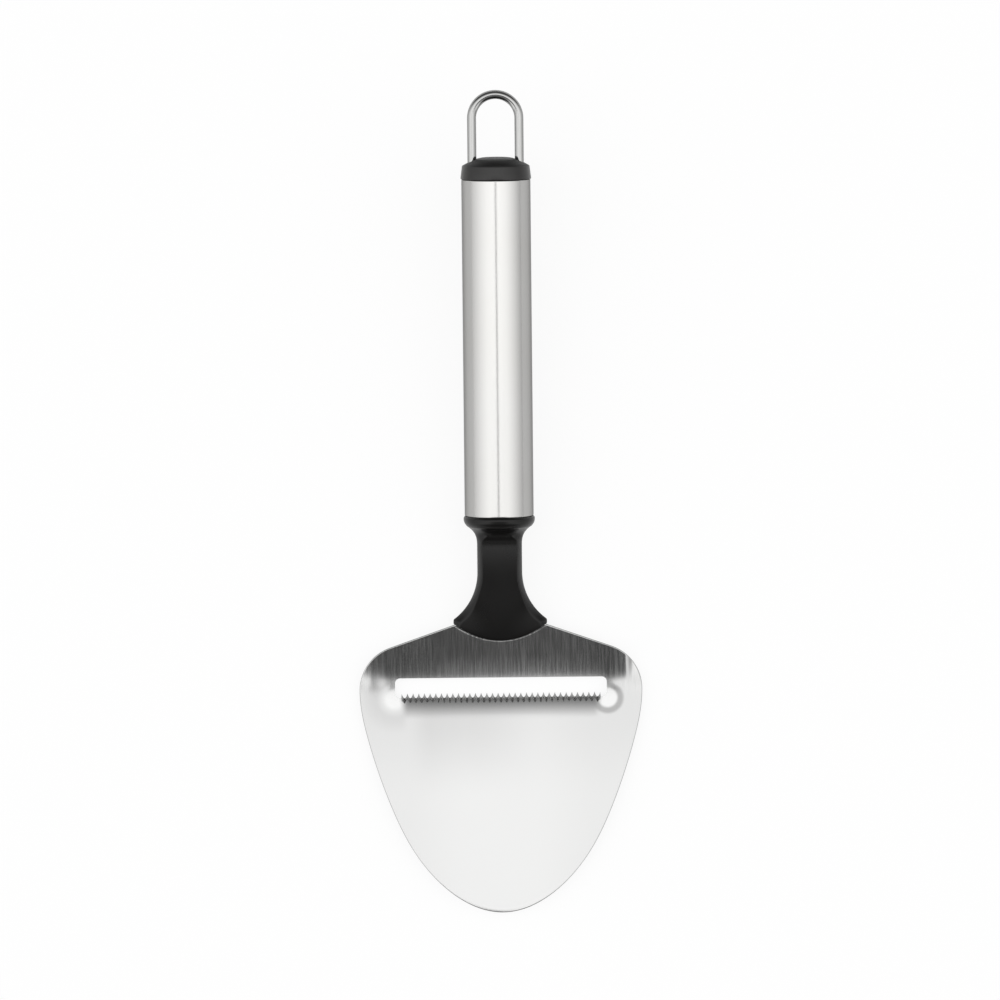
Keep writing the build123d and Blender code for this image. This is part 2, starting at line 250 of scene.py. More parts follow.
# Which point of the outline each point of the slot's edge looks out to: the stretches of
# the edge end at the marks, and their places are measured along the outline
marks = np.cumsum([0, len(toothed), ARC_POINTS - 1, len(end_y) + 1, ARC_POINTS - 1,
                   len(shoulder_x), len(tang_x)])
places = [0, outline_place((0.0392, 0.050)), outline_place((HALF_WIDTH, 0.0637)),
          outline_place((HALF_WIDTH, 0.0666)), outline_place((0.031, 0.0775)),
          outline_place((TANG_HALF, root_end)), outline_run[-1]]
rim_points = along_line(outline, np.interp(np.arange(len(slot_edge)), marks, places))
heading = np.gradient(rim_points, axis=0)
heading[0], heading[-1] = (1, 0), (-1, 0)
heading /= np.hypot(*heading.T)[:, None]
outward = np.stack([heading[:, 1], -heading[:, 0]], 1)


def both_sides(half):
    """Right half of a closed line, from bottom to top, followed by its mirror image."""
    return np.vstack([half, half[-2:0:-1] * (-1, 1)])


slot_edge, slot_ring, rim_points, outward = map(both_sides, (slot_edge, slot_ring, rim_points, outward))

# Cross-section: over the top from the slot, round the outer edge and back underneath. The
# rows lie closer together near the slot.
EDGE_ROUND = 0.00025
near_steps = np.linspace(0, 1, 34) ** 1.25
far_steps = np.linspace(0, 1, 50)[1:]
rounded = rim_points - outward * EDGE_ROUND
top_plan = np.concatenate([slot_edge + (slot_ring - slot_edge) * near_steps[:, None, None],
                           slot_ring + (rounded - slot_ring) * far_steps[:, None, None]])

# The thinnest metal left under a groove, and a hair's breadth for comparing places
THINNEST = 0.00002
HAIR = 0.00001


def groove_level(x, y):
    """Height of the nearest groove's side: its bottom runs down to the lower face at the
    gullet, and both sides rise evenly from it."""
    start = sheet_height(0, GULLET_LINE - TOOTH_HEIGHT) + SHEET / 2
    fall = (start - sheet_height(0, GULLET_LINE) + SHEET / 2) / TOOTH_HEIGHT
    tip = sheet_height(0, TOOTH_LINE) - SHEET / 2 - (start - 2 * fall * TOOTH_HEIGHT)
    nearest = np.clip(np.round(x / TOOTH_PITCH), -LAST_GROOVE, LAST_GROOVE)
    away = np.abs(x - TOOTH_PITCH * nearest)
    return start - fall * (y - GULLET_LINE + TOOTH_HEIGHT) + tip / (TOOTH_PITCH / 2) * away


def faces_at(points):
    """Upper and lower face of the sheet over points in plan, the grooves cut into the upper."""
    x, y = points[..., 0], points[..., 1]
    middle = sheet_height(x, y)
    upper = np.maximum(groove_level(x, y), middle - SHEET / 2 + THINNEST)
    upper = np.minimum(middle + SHEET / 2, upper)
    cut = (y < TOOTH_LINE + HAIR) & (np.abs(x) < LAND_HALF + HAIR)
    return np.where(cut, upper, middle + SHEET / 2), middle - SHEET / 2


round_angles = np.radians(np.linspace(0, 90, 7))[1:]
top_level = faces_at(top_plan)[0]
rounding_plan = rounded + outward * EDGE_ROUND * np.sin(round_angles)[:, None, None]
rounding_level = top_level[-1] - EDGE_ROUND * (1 - np.cos(round_angles))[:, None]
under_plan = np.concatenate([
    rounding_plan[::-1], rounded + (slot_ring - rounded) * np.linspace(0, 1, 26)[:, None, None],
    slot_ring + (slot_edge - slot_ring) * np.linspace(0, 1, 14)[1:, None, None]])
under_level = np.concatenate([
    faces_at(np.repeat(rounded[None], 6, 0))[1] + EDGE_ROUND * (1 - np.cos(round_angles[::-1]))[:, None],
    faces_at(under_plan[6:])[1]])
wall_share = np.array([0.25, 0.5, 0.75])[:, None]
wall_level = under_level[-1] + (top_level[0] - under_level[-1]) * wall_share
wall_plan = np.repeat(slot_edge[None], 3, 0)
blade_plan = np.concatenate([top_plan, rounding_plan, under_plan, wall_plan])
blade_level = np.concatenate([top_level, rounding_level, under_level, wall_level])
blade_rows = np.concatenate([blade_plan + (0, tip_y), blade_level[..., None]], -1)


def make_piece(name, rows, closed_ends, sharp):
    """A mesh from rings of points: neighbouring rings are joined by quads, and the last
    ring joins the first, or each end ring closes on a point at its middle. Points that
    lie together are merged, the faces are turned outwards and the edges that bend by
    more than the sharp angle stay crisp."""
    count, around = rows.shape[:2]
    ring = np.arange(around)
    low = np.arange(count - closed_ends)[:, None] * around
    high = (np.arange(count - closed_ends)[:, None] + 1) % count * around
    after = (ring + 1) % around
    faces = np.stack([low + ring, low + after, high + after, high + ring], -1).reshape(-1, 4).tolist()
    points = rows.reshape(-1, 3)
    if closed_ends:
        points = np.vstack([points, rows[0].mean(0), rows[-1].mean(0)])
        top = (count - 1) * around
        faces += np.stack([after, ring, np.full(around, count * around)], 1).tolist()
        faces += np.stack([top + ring, top + after, np.full(around, count * around + 1)], 1).tolist()
    mesh = bpy.data.meshes.new(name)
    mesh.from_pydata(points.tolist(), [], faces)
    build = bmesh.new()
    build.from_mesh(mesh)
    bmesh.ops.remove_doubles(build, verts=build.verts, dist=1e-6)
    if build.calc_volume(signed=True) < 0:
        bmesh.ops.reverse_faces(build, faces=build.faces)
    build.to_mesh(mesh)
    build.free()
    mesh.shade_smooth()
    mesh.set_sharp_from_angle(angle=math.radians(sharp))
    piece = bpy.data.objects.new(name, mesh)
    bpy.context.scene.collection.objects.link(piece)
    return piece


blade = make_piece("blade_sheet", blade_rows, False, 28)

# Marks the points that lie in a groove, between the sheet's two faces
corners = np.array([vertex.co for vertex in blade.data.vertices]) - (0, tip_y, 0)
below = sheet_height(corners[:, 0], corners[:, 1]) + SHEET / 2 - corners[:, 2]
ground_in = (below > 2 * THINNEST) & (below < SHEET - THINNEST)
ground_in &= np.abs(corners[:, 0]) < LAND_HALF + 10 * HAIR
ground_in &= (corners[:, 1] > GULLET_LINE - 1.5 * TOOTH_HEIGHT) & (corners[:, 1] < TOOTH_LINE + 5 * HAIR)
blade.data.attributes.new("ground", "FLOAT", "POINT").data.foreach_set("value", ground_in.astype(float))


class Wire:
    """One socket in a node tree. Sums, differences, products, shares and powers of wires
    add the Math nodes that work them out; any other node comes from node()."""

    def __init__(self, tree, socket=None):
        self.tree = tree
        self.socket = socket

    def node(self, kind, settings, values, output=0):
        """Adds a node: its settings first, then its sockets' values or the wires that feed
        them. Gives the wire of the output named."""
        made = self.tree.nodes.new(kind)
        for name, setting in settings.items():
            setattr(made, name, setting)
        for name, value in values.items():
            if isinstance(value, Wire):
                self.tree.links.new(value.socket, made.inputs[name])
            else:
                made.inputs[name].default_value = value
        return Wire(self.tree, made.outputs[output] if made.outputs else None)

    def sum_of(self, operation, first, second):
        return self.node("ShaderNodeMath", {"operation": operation}, {0: first, 1: second})

    def __add__(self, other):
        return self.sum_of("ADD", self, other)

    def __radd__(self, other):
        return self.sum_of("ADD", other, self)

    def __sub__(self, other):
        return self.sum_of("SUBTRACT", self, other)

    def __rsub__(self, other):
        return self.sum_of("SUBTRACT", other, self)

    def __mul__(self, other):
        return self.sum_of("MULTIPLY", self, other)

    def __rmul__(self, other):
        return self.sum_of("MULTIPLY", other, self)

    def __truediv__(self, other):
        return self.sum_of("DIVIDE", self, other)

    def __pow__(self, other):
        return self.sum_of("POWER", self, other)


def new_finish(name):
    """An empty material, and the wire that its nodes start from."""
    material = bpy.data.materials.new(name)
    material.use_nodes = True
    material.node_tree.nodes.clear()
    return material, Wire(material.node_tree)


def noise_at(start, stretch, detail, rough):
    """Noise on the object's own coordinates, so many grains a metre along X, Y and Z."""
    place = start.node("ShaderNodeTexCoord", {}, {}, "Object")
    place = start.node("ShaderNodeMapping", {}, {"Vector": place, "Scale": stretch})
    return start.node("ShaderNodeTexNoise", {"noise_dimensions": "3D"},
                      {"Vector": place, "Scale": 1.0, "Detail": detail, "Roughness": rough})


def eased(start, value, low, high, out_low, out_high):
    """Smooth step from one value to the other while a wire goes from low to high."""
    limits = {"From Min": low, "From Max": high, "To Min": out_low, "To Max": out_high}
    return start.node("ShaderNodeMapRange", {"interpolation_type": "SMOOTHSTEP"},
                      {"Value": value, **limits})


def mixed(start, factor, first, second):
    """Mix of two colours, the second one where the factor is 1."""
    return start.node("ShaderNodeMix", {"data_type": "RGBA"}, {0: factor, 6: first, 7: second}, 2)


def finish(start, values, height, depth):
    """Principled shader with a bump of the given depth in metres, and the output."""
    bump = start.node("ShaderNodeBump", {}, {"Height": height, "Distance": depth, "Strength": 1.0})
    shader = start.node("ShaderNodeBsdfPrincipled", {}, {**values, "Normal": bump})
    start.node("ShaderNodeOutputMaterial", {}, {"Surface": shader})


blade_steel, start = new_finish("brushed_blade_steel")
streaks = noise_at(start, (2000.0, 45.0, 45.0), 3.0, 0.6)
grain = noise_at(start, (5200.0, 150.0, 150.0), 2.0, 0.5)
clouds = noise_at(start, (60.0, 45.0, 60.0), 2.0, 0.5)
place = start.node("ShaderNodeTexCoord", {}, {}, "Object")
place_x = start.node("ShaderNodeSeparateXYZ", {}, {0: place}, "X")
place_y = start.node("ShaderNodeSeparateXYZ", {}, {0: place}, "Y")
aside = start.node("ShaderNodeMath", {"operation": "ABSOLUTE"}, {0: place_x})
upper = eased(start, place_y, tip_y + 0.0615, tip_y + 0.0690, 0.12, 1.0)
ground = start.node("ShaderNodeAttribute", {"attribute_name": "ground"}, {}, "Fac")
edge_line = place_y - tip_y - FOOT_LOW - FOOT_BULGE / FOOT_HALF ** 2 * place_x * place_x
burnish = eased(start, edge_line, -0.00035, -0.00005, 0.0, 1.0)

# Painted shade: a dull grey ring is painted round the right pocket and a fainter haze of painted shade
# round the left one, where the pockets' sides would fall into shade, both only beyond the teeth
RING_X = 0.0310
RING_LINE = 0.0621
past_teeth = eased(start, aside, 0.0264, 0.0290, 0.0, 1.0)
ring_x, ring_y = aside - RING_X, place_y - tip_y - RING_LINE
ring_reach = (ring_x * ring_x + ring_y * ring_y) ** 0.5
ring = eased(start, ring_reach, 0.0024, 0.0034, 0.0, 1.0)
ring = ring * eased(start, ring_reach, 0.0040, 0.0052, 1.0, 0.0)
painted_haze_shade = eased(start, ring_reach, 0.0034, 0.0056, 0.0, 0.26)
painted_haze_shade = painted_haze_shade * eased(start, ring_reach, 0.0050, 0.0110, 1.0, 0.0)
painted_ring_shade = mixed(start, eased(start, place_x, -0.01, 0.01, 0.0, 1.0), painted_haze_shade, ring)
painted_ring_shade = painted_ring_shade * eased(start, ring_y, 0.0022, 0.0046, 1.0, 0.0) * past_teeth

# Painted light: the sheet's colour is made lighter along the slot's top and in the pockets as painted
# highlights, plain on the lower plate and darker on the middle of the lip as painted shade, and the
# brushed lines vary it
lines = eased(start, 0.35 * streaks + 0.65 * grain, 0.38, 0.62, 0.0, 1.0)
slot_top_highlight = eased(start, place_y, tip_y + 0.0705, tip_y + 0.0755, 1.0, 0.0)
slot_top_highlight = slot_top_highlight * eased(start, aside, 0.008, 0.030, 1.0, 0.0)
# Painted highlight: a lighter steel colour along the fold above the slot's top, most towards the middle
fold_highlight_colour = mixed(start, lines, (0.490, 0.490, 0.487, 1), (0.550, 0.550, 0.547, 1))
steel_colour = mixed(start, lines, (0.345, 0.345, 0.342, 1), (0.387, 0.387, 0.384, 1))
steel_colour = mixed(start, slot_top_highlight, steel_colour, fold_highlight_colour)
# Painted shade: the lip's colour is darker than the lower plate's, and darker still over its middle
painted_lip_shade = eased(start, place_x, -0.028, -0.020, 0.0, 1.0) * eased(start, place_x, -0.010, 0.014, 1.0, 0.0)
lip_shade_colour = mixed(start, painted_lip_shade, (0.346, 0.346, 0.344, 1), (0.300, 0.300, 0.298, 1))
plain_colour = mixed(start, eased(start, place_y, tip_y + 0.032, tip_y + 0.058, 0.0, 1.0),
                     (0.373, 0.373, 0.371, 1), lip_shade_colour)
# Painted highlight: a lighter disc of steel colour in each pocket
painted_pocket_highlight = eased(start, ring_reach, 0.0019, 0.0041, 1.0, 0.0) * past_teeth
plain_colour = mixed(start, painted_pocket_highlight, plain_colour, (0.425, 0.425, 0.423, 1))
steel_colour = mixed(start, upper, plain_colour, steel_colour)
# Painted shade: the ring and haze round the pockets darken the steel's colour
steel_colour = mixed(start, painted_ring_shade, steel_colour, (0.22, 0.22, 0.218, 1))
steel_colour = mixed(start, ground, steel_colour, (0.38, 0.38, 0.376, 1))
finish(start, {"Base Color": steel_colour, "Metallic": 1.0,
               "Roughness": 0.10 + 0.04 * lines + 0.03 * clouds + 0.2 * ground,
               "Specular Tint": (0.8, 0.8, 0.8, 1)},
       upper * upper * (streaks + 0.5 * grain) - burnish * (4.2 + 8.4 * lines), 0.0000009)
blade.data.materials.append(blade_steel)
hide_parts("blade")
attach(blade, "root")

# Neck: a black glass-filled nylon moulding, cast round the tang. Its flared foot grips
# the blade, its waist spreads into a round collar, and a spigot goes up into the tube.
WAIST_LOW = FOOT_SIDE + 0.0154
WAIST_HIGH = WAIST_LOW + 0.0071
THROAT_END = WAIST_HIGH + 0.0061
WAIST_HALF = 0.0065
WAIST_DEPTH = 0.0036
WAIST_ROUND = 0.0015
FOOT_ROUND = 0.0019
FOOT_COVER = 0.0015
FLARE_START = FOOT_SIDE + 0.0018
FLARE_RADIUS = 0.017
TOP_ARCH = 0.72
BULGE_END_SHARE = 0.62
FRONT_ROUND = 0.0006
ROUNDING_POWER = 1.6
ROUNDING_SHARE = 0.82
CIRCLE_SHARE = 0.999
COLLAR_RADIUS = TUBE_RADIUS + 0.00035
THROAT_RADIUS = COLLAR_RADIUS - 0.0012
BEAD_LINE = -0.0008
TUBE_WALL = 0.0007
SPIGOT_RADIUS = TUBE_RADIUS - TUBE_WALL - 0.00005
SPIGOT_LENGTH = 0.023
SPIGOT_CHAMFER = 0.0008
AROUND = 192


def ring_of(half_width, half_depth, round_x, round_z, power):
    """Rounded rectangle round the origin. Each corner runs as cosine and sine raised to
    the power: 1 is a quarter ellipse, 2 a straight bevel. The points share out each
    quarter's side, corner and half top by length, in every row alike."""
    q = np.arange(AROUND // 4 + 1) / (AROUND // 4)
    a, b, rx, rz, k = np.array([half_width, half_depth, round_x, round_z, power])[..., None]
    corner_run = math.pi / 2 * (rx + rz) / 2
    total = (b - rz) + corner_run + (a - rx)
    run = q * total
    angle = np.clip((run - (b - rz)) / corner_run, 0, 1) * math.pi / 2
    on_top = np.clip(run - (b - rz) - corner_run, 0, None)
    x = (a - rx) + rx * np.abs(np.cos(angle)) ** k - on_top
    z = np.minimum(run, b - rz) + rz * np.sin(angle) ** k
    quarter = np.stack([x, z], -1)
    half = np.concatenate([quarter, (quarter * (-1, 1))[:, -2::-1]], 1)
    return np.concatenate([half, (half * (1, -1))[:, -2:0:-1]], 1)


def axis_height(y):
    """Height of the handle's axis at a distance y from the tip."""
    return RIM_HEIGHT + table_gap + (y - RIM_LINE) * math.tan(TILT)


def neck_half_width(y):
    """Half width of the neck: an arc down to the flare's corner, then straight on."""
    run = WAIST_LOW - FLARE_START
    drop = np.sqrt(FLARE_RADIUS ** 2 - (WAIST_LOW - np.clip(y, FLARE_START, WAIST_LOW)) ** 2)
    slope = run / math.sqrt(FLARE_RADIUS ** 2 - run ** 2)
    return WAIST_HALF + FLARE_RADIUS - drop + np.clip(FLARE_START - y, 0, None) * slope


# From the foot to the waist: the top arches over, the base runs straight, and each ring
# bulges towards the blade by the square of its place across
foot_top = sheet_height(0, FOOT_LOW) + SHEET / 2 + FOOT_COVER
foot_base = sheet_height(0, FOOT_LOW) - SHEET / 2 - FOOT_COVER
waist_top = axis_height(WAIST_HIGH) + WAIST_DEPTH
waist_base = axis_height(WAIST_HIGH) - WAIST_DEPTH
front = np.radians(np.linspace(0, 90, 9))
middle_y = np.concatenate([FOOT_LOW + FRONT_ROUND * (1 - np.cos(front)),
                           np.linspace(FOOT_LOW + FRONT_ROUND, WAIST_HIGH, 70)[1:]])
inset = np.concatenate([FRONT_ROUND * (1 - np.sin(front)), np.zeros(69)])
share = (middle_y - FOOT_LOW) / (WAIST_HIGH - FOOT_LOW)
bulge = FOOT_BULGE * (1 - blend(share / BULGE_END_SHARE))
top = foot_top + (waist_top - foot_top) * share * (1 + TOP_ARCH - TOP_ARCH * share)
base = foot_base + (waist_base - foot_base) * share
half_width = np.minimum(neck_half_width(middle_y + bulge), FOOT_HALF) - inset
half_depth = (top - base) / 2 - inset
round_x = FOOT_ROUND - (FOOT_ROUND - WAIST_ROUND) * share - inset
round_z = half_depth * ROUNDING_SHARE
neck_rings = ring_of(half_width, half_depth, round_x, round_z, np.full(len(share), ROUNDING_POWER))
centre = (top + base) / 2
reach = (neck_rings[..., 0] / half_width[:, None]) ** 2 * bulge[:, None]
neck_rows = np.stack([neck_rings[..., 0], tip_y + middle_y[:, None] + reach,
                      centre[:, None] + neck_rings[..., 1]], -1)
front_share = np.linspace(0, 1, 7)[:-1]
front_rows = neck_rows[:1] * (1, 1, 0) + np.stack(
    [np.zeros((6, AROUND)), np.zeros((6, AROUND)),
     centre[0] + front_share[:, None] * neck_rings[0, :, 1]], -1)


def round_handle(distance, radius, count=AROUND):
    """Rings round the handle's axis: each a distance up the tube from its lower rim, with a
    radius, and the ring's points counted from the right over the top."""
    a = np.arange(count) * 2 * math.pi / count
    distance, radius = np.array([distance, radius])[..., None, None]
    spokes = np.cos(a)[:, None] * np.array([1.0, 0, 0]) + np.sin(a)[:, None] * ABOVE
    return rim + distance * ALONG + radius * spokes


# From the waist to the collar: width and depth grow by a power of the way, and the
# rounded rectangle turns into a circle
throat_share = np.linspace(0, 1, 26)[1:]
throat_y = WAIST_HIGH + (THROAT_END - WAIST_HIGH) * throat_share
throat_width = WAIST_HALF + (THROAT_RADIUS - WAIST_HALF) * throat_share ** 3.3
throat_depth = WAIST_DEPTH + (THROAT_RADIUS - WAIST_DEPTH) * throat_share ** 3.0
rounder = blend(1.3 * throat_share - 0.28)
throat_round_x = WAIST_ROUND + (throat_width * CIRCLE_SHARE - WAIST_ROUND) * rounder
throat_round_z = throat_depth * (ROUNDING_SHARE + (CIRCLE_SHARE - ROUNDING_SHARE) * rounder)
throat_power = ROUNDING_POWER - (ROUNDING_POWER - 1) * rounder
throat_rings = ring_of(throat_width, throat_depth, throat_round_x, throat_round_z, throat_power)
lean = throat_share[:, None] * math.tan(TILT) * throat_rings[..., 1]
throat_rows = np.stack([throat_rings[..., 0], tip_y + throat_y[:, None] - lean,
                        axis_height(throat_y)[:, None] + throat_rings[..., 1]], -1)

# The collar's bead is two quarter ellipses that meet at its widest, a long one below and a
# short one above. The spigot follows, with its end chamfered.
bead_turn = np.radians(np.linspace(-43, 66, 26))
bead_length = np.where(bead_turn < 0, 0.0033, 0.00087)
bead_height = np.where(bead_turn < 0, 0.0041, 0.00076)
collar_distance = np.concatenate([
    BEAD_LINE + bead_length * np.sin(bead_turn),
    [0.0, 0.0, SPIGOT_LENGTH - SPIGOT_CHAMFER, SPIGOT_LENGTH, SPIGOT_LENGTH]])
collar_reach = np.concatenate([
    COLLAR_RADIUS - bead_height * (1 - np.cos(bead_turn)),
    [TUBE_RADIUS - 0.0001, SPIGOT_RADIUS, SPIGOT_RADIUS, SPIGOT_RADIUS - SPIGOT_CHAMFER, 0.003]])
neck = make_piece("neck_moulding", np.concatenate([
    front_rows, neck_rows, throat_rows, round_handle(collar_distance, collar_reach)]), True, 30)

black_plastic, start = new_finish("black_nylon")
skin = noise_at(start, (2600.0, 2600.0, 2600.0), 2.0, 0.6)
flow = noise_at(start, (120.0, 60.0, 120.0), 2.0, 0.5)
plastic_colour = mixed(start, flow, (0.0042, 0.004, 0.0038, 1), (0.0062, 0.0059, 0.0056, 1))
finish(start, {"Base Color": plastic_colour, "Roughness": 0.24 + 0.08 * flow, "Specular IOR Level": 0.24},
       skin, 0.000003)
neck.data.materials.append(black_plastic)
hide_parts("neck")
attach(neck, "root")

# Cross pins: two steel dowels driven through the spigot and the tang. The tube hides
# them, so the CAD pins stay and only get their bare steel.
pin_steel, start = new_finish("pin_steel")
turned = noise_at(start, (900.0, 900.0, 2500.0), 2.0, 0.5)
pin_colour = mixed(start, turned, (0.42, 0.42, 0.42, 1), (0.52, 0.52, 0.51, 1))
finish(start, {"Base Color": pin_colour, "Metallic": 1.0, "Roughness": 0.28 + 0.12 * turned},
       turned, 0.000004)
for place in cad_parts["tang_pins"].material_slots:
    place.material = pin_steel

# Handle tube: satin stainless tube, 20 mm across with a 0.7 mm wall, seam welded and
# polished, its rims rounded over and pushed against the collar and the cap.
RIM_ROUND = 0.0004
SHORT_ROW = 0.0001
TUBE_AROUND = 288
tube_turn = np.radians(np.linspace(0, 90, 8))
rim_distance = RIM_ROUND * (1 - np.sin(tube_turn))
rim_reach = TUBE_RADIUS - RIM_ROUND * (1 - np.cos(tube_turn))
outer_distance = np.linspace(RIM_ROUND, TUBE_LENGTH - RIM_ROUND, 40)
outer_distance[[0, -1]] += (SHORT_ROW, -SHORT_ROW)
tube_distance = np.concatenate([
    rim_distance[::-1], outer_distance, TUBE_LENGTH - rim_distance, [TUBE_LENGTH, 0.0]])
tube_reach = np.concatenate([
    rim_reach[::-1], np.full(40, TUBE_RADIUS), rim_reach, np.full(2, TUBE_RADIUS - TUBE_WALL)])
tube = make_piece("handle_tube_shell", round_handle(tube_distance, tube_reach, TUBE_AROUND), False, 40)

tube_steel, start = new_finish("satin_tube_steel")
satin = noise_at(start, (2600.0, 300.0, 2600.0), 2.0, 0.5)
patches = noise_at(start, (30.0, 55.0, 30.0), 2.0, 0.5)
tube_colour = mixed(start, patches, (0.445, 0.44, 0.427, 1), (0.475, 0.472, 0.466, 1))
finish(start, {"Base Color": tube_colour, "Metallic": 1.0,
               "Roughness": 0.13 + 0.04 * satin + 0.04 * patches,
               "Specular Tint": (0.5, 0.5, 0.5, 1)}, satin, 0.0000012)
tube.data.materials.append(tube_steel)
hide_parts("handle_tube")
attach(tube, "root")

# End cap: a black moulding pressed into the tube, with a tapered band, a low and duller dome painted
# darker as shade, that the loop's wire comes out of, and a skirt inside the tube.
CAP_BAND = 0.0038
CAP_RADIUS = TUBE_RADIUS + 0.00025
CAP_TOP = TUBE_LENGTH + CAP_BAND
BAND_TOP = CAP_RADIUS - 0.00045
BAND_EDGE = 0.0001
DOME_RISE = 0.0024
LEG_OFFSET = SPIGOT_RADIUS - 0.00241
DIMPLE_DEPTH = 0.0003
DIMPLE_FLOOR = 0.0012
DIMPLE_SIDE = 0.0006
SKIRT_LENGTH = 0.0166
SKIRT_WALL = 0.0009
FLOOR_LINE = TUBE_LENGTH - 0.010
dome_reach = (BAND_TOP - BAND_EDGE) * np.sin(np.linspace(0, math.pi / 2, 62)[1:])
cap_turn = np.radians(np.linspace(15, 90, 6))
band_distance = TUBE_LENGTH + np.array([0.002, 0.0003, 0.00005, 0])
band_reach = CAP_RADIUS - np.array([0.00024, 0.00003, 0.00008, 0.0003])
skirt_end = TUBE_LENGTH - SKIRT_LENGTH
cap_distance = np.concatenate([
    np.zeros(len(dome_reach)), CAP_TOP - BAND_EDGE * (1 - np.cos(cap_turn)), band_distance,
    [TUBE_LENGTH, skirt_end, skirt_end, FLOOR_LINE, FLOOR_LINE]])
cap_reach = np.concatenate([
    dome_reach, BAND_TOP - BAND_EDGE * (1 - np.sin(cap_turn)), band_reach,
    [SPIGOT_RADIUS, SPIGOT_RADIUS, SPIGOT_RADIUS - SKIRT_WALL, SPIGOT_RADIUS - SKIRT_WALL, 0.002]])
cap_rows = round_handle(cap_distance, cap_reach, TUBE_AROUND)

# The dome falls from its middle by a power of the way out, which is higher towards its top
# and bottom than at its sides, and each leg of the wire sinks in a small dimple
dome_rows = cap_rows[:len(dome_reach)]
side_x = np.abs(dome_rows[..., 0]) - LEG_OFFSET
side_z = (dome_rows - rim) @ ABOVE
dimple = DIMPLE_DEPTH * (1 - blend((np.hypot(side_x, side_z) - DIMPLE_FLOOR) / DIMPLE_SIDE))
upward = (side_z / dome_reach[:, None]) ** 2
dome_rise = DOME_RISE * (1 - (dome_reach[:, None] / BAND_TOP) ** (2.6 + 5.0 * upward))
dome_rows += (CAP_TOP + dome_rise - dimple)[..., None] * ALONG
cap = make_piece("end_cap_moulding", cap_rows, True, 40)

cap_plastic, start = new_finish("black_cap_plastic")
skin = noise_at(start, (2600.0, 2600.0, 2600.0), 2.0, 0.6)
place = start.node("ShaderNodeTexCoord", {}, {}, "Object")
place_y = start.node("ShaderNodeSeparateXYZ", {}, {0: place}, "Y")
place_z = start.node("ShaderNodeSeparateXYZ", {}, {0: place}, "Z")
along_axis = (place_y - float(rim[1])) * math.cos(TILT) + (place_z - float(rim[2])) * math.sin(TILT)
dome = eased(start, along_axis, CAP_TOP - 0.0001, CAP_TOP + 0.0002, 0.0, 1.0)
cap_colour = mixed(start, skin, (0.011, 0.0105, 0.010, 1), (0.015, 0.0142, 0.0138, 1))
# Painted shade: the dome's colour is darker than the band's
cap_colour = mixed(start, dome, cap_colour, (0.0035, 0.0033, 0.0032, 1))
finish(start, {"Base Color": cap_colour, "Roughness": 0.25 + 0.1 * skin + 0.22 * dome,
               "Specular IOR Level": 0.36}, skin, 0.000004)
cap.data.materials.append(cap_plastic)
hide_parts("end_cap")
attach(cap, "root")

# Hanging loop: one polished stainless wire, 2.6 mm thick. Both legs go down through the
# cap, and their toes are bent inwards under its floor.
WIRE_RADIUS = 0.0013
WIRE_AROUND = 40
LOOP_RISE = 0.0257
ARCH_LINE = TUBE_LENGTH + LOOP_RISE - WIRE_RADIUS - LEG_OFFSET
TOE_BEND = 0.0025
TOE_END = 0.0016
toe_x, toe_line = LEG_OFFSET - TOE_BEND, FLOOR_LINE - TOE_BEND
leg = np.linspace(FLOOR_LINE, ARCH_LINE, 30)[1:-1]
right_side = np.vstack([
    np.stack([np.linspace(TOE_END, toe_x, 5)[:-1], np.full(4, toe_line)], 1),
    turn((toe_x, FLOOR_LINE), TOE_BEND, -90, 0, 14),
    np.stack([np.full(len(leg), LEG_OFFSET), leg], 1),
    turn((0, ARCH_LINE), LEG_OFFSET, 0, 90, 40)])
wire_path = np.vstack([right_side, right_side[-2::-1] * (-1, 1)])
wire_heading = np.gradient(wire_path, axis=0)
wire_heading /= np.hypot(*wire_heading.T)[:, None]
wire_side = np.stack([-wire_heading[:, 1], wire_heading[:, 0]], 1)
to_space = np.stack([np.array([1.0, 0, 0]), ALONG])
a = np.arange(WIRE_AROUND) * 2 * math.pi / WIRE_AROUND
spokes = np.cos(a)[:, None] * (wire_side @ to_space)[:, None] + np.sin(a)[:, None] * ABOVE
wire_rows = rim + (wire_path @ to_space)[:, None] + WIRE_RADIUS * spokes
loop = make_piece("hanging_loop_wire", wire_rows, True, 50)

wire_steel, start = new_finish("polished_wire")
drawn = noise_at(start, (1800.0, 240.0, 1800.0), 2.0, 0.5)
wire_colour = mixed(start, drawn, (0.31, 0.31, 0.305, 1), (0.36, 0.36, 0.355, 1))
finish(start, {"Base Color": wire_colour, "Metallic": 1.0, "Roughness": 0.05 + 0.05 * drawn,
               "Specular Tint": (0.7, 0.7, 0.7, 1)}, drawn, 0.0000008)
loop.data.materials.append(wire_steel)
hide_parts("hanging_loop")
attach(loop, "root")

# Keeper: a grey plug pressed into the cap's skirt from inside, which holds the loop's
# toes. The tube hides it, so the CAD plug stays.
keeper_plastic, start = new_finish("keeper_plastic")
matt = noise_at(start, (1500.0, 1500.0, 1500.0), 2.0, 0.6)
keeper_colour = mixed(start, matt, (0.055, 0.055, 0.057, 1), (0.075, 0.075, 0.078, 1))
finish(start, {"Base Color": keeper_colour, "Roughness": 0.5 + 0.1 * matt}, matt, 0.00001)
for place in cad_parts["loop_keeper"].material_slots:
    place.material = keeper_plastic

